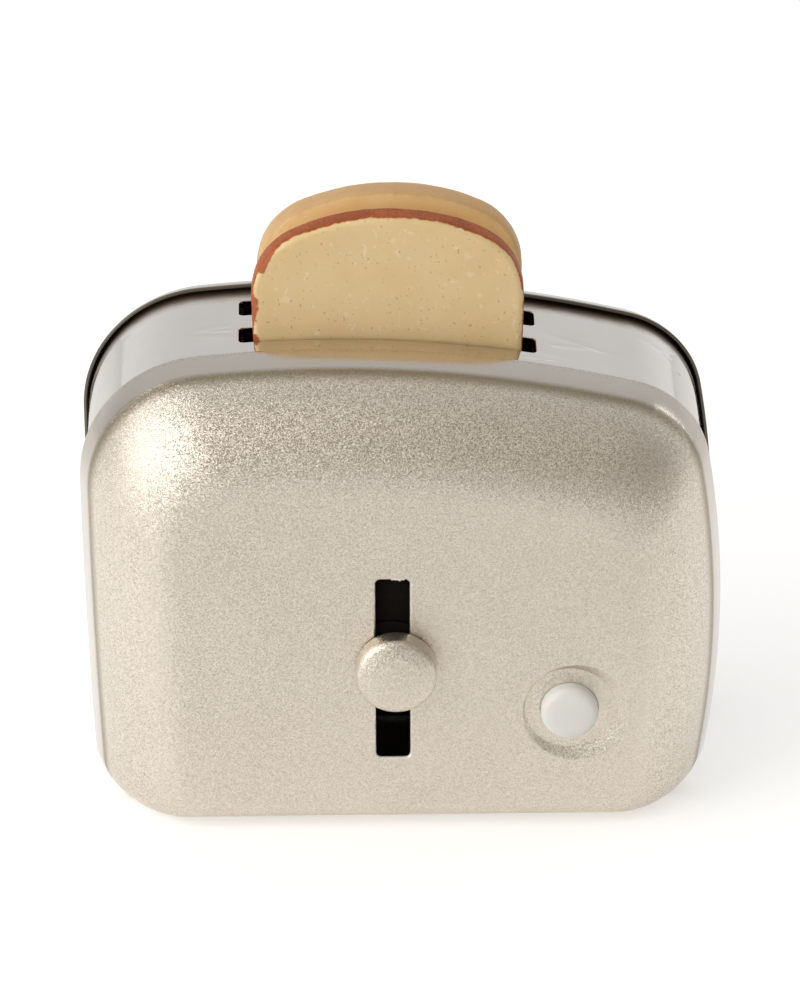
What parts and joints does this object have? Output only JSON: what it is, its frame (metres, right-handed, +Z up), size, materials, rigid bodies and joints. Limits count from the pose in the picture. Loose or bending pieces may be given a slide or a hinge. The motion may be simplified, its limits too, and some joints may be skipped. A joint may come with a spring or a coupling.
{
  "type": "toy toaster",
  "caption": "Doll's-house toaster: drawn metal casing with a bright band, sliding lifter knob, round button and two lift-out slices of toast.",
  "frame": {"origin": "middle of the base plate's pressed field, on the surface the toaster stands on", "axes": "+Z up, +X to the right seen from the front, the slider and button face -Y"},
  "size_m": [0.0628, 0.0375, 0.0605],
  "materials": {
    "champagne_paint": "fine metal-flake champagne paint under a clear gloss coat",
    "bright_plate": "bright nickel plate with light handling marks",
    "zinc_steel": "dull zinc-plated steel sheet and wire",
    "black_steel": "matt blackened steel",
    "spring_steel": "bare spring steel",
    "milk_plastic": "milky white moulded plastic, polished",
    "slide_plastic": "black moulded plastic",
    "toast_pale": "pale cream moulded slice, waxy, with a painted red-brown crust",
    "toast_tan": "tan moulded slice, waxy"
  },
  "bodies": {
    "casing": {"front_cover": "champagne_paint", "rear_cover": "champagne_paint", "chrome_band": "bright_plate", "base_plate": "zinc_steel", "base_rivets": "zinc_steel", "left_toast_guide": "black_steel", "right_toast_guide": "black_steel", "guide_rivets": "zinc_steel", "guide_bridge": "black_steel", "bridge_rivets": "zinc_steel", "left_guide_rod": "zinc_steel", "right_guide_rod": "zinc_steel", "button_bracket": "black_steel", "button_spring": "spring_steel"},
    "carriage": {"lifter": "black_steel", "slider_knob": "champagne_paint", "slide_block": "slide_plastic", "friction_washer": "spring_steel", "knob_rivet": "zinc_steel"},
    "front_slice": {"front_toast": "toast_pale"},
    "rear_slice": {"rear_toast": "toast_tan"},
    "button": {"push_button": "milk_plastic"}
  },
  "joints": [
    {"name": "slider", "type": "slide", "parent": "casing", "child": "carriage", "axis": [0, 0, 1], "range_m": [-0.0077, 0.0071]},
    {"name": "front_slice_lift", "type": "slide", "parent": "carriage", "child": "front_slice", "axis": [0, 0, 1], "range_m": [0, 0.018]},
    {"name": "rear_slice_lift", "type": "slide", "parent": "carriage", "child": "rear_slice", "axis": [0, 0, 1], "range_m": [0, 0.018]},
    {"name": "button_press", "type": "slide", "parent": "casing", "child": "button", "axis": [0, 1, 0], "range_m": [0, 0.0007], "stiffness_N_per_m": 400, "springref_m": -0.001, "deforming": ["button_spring"]}
  ]
}
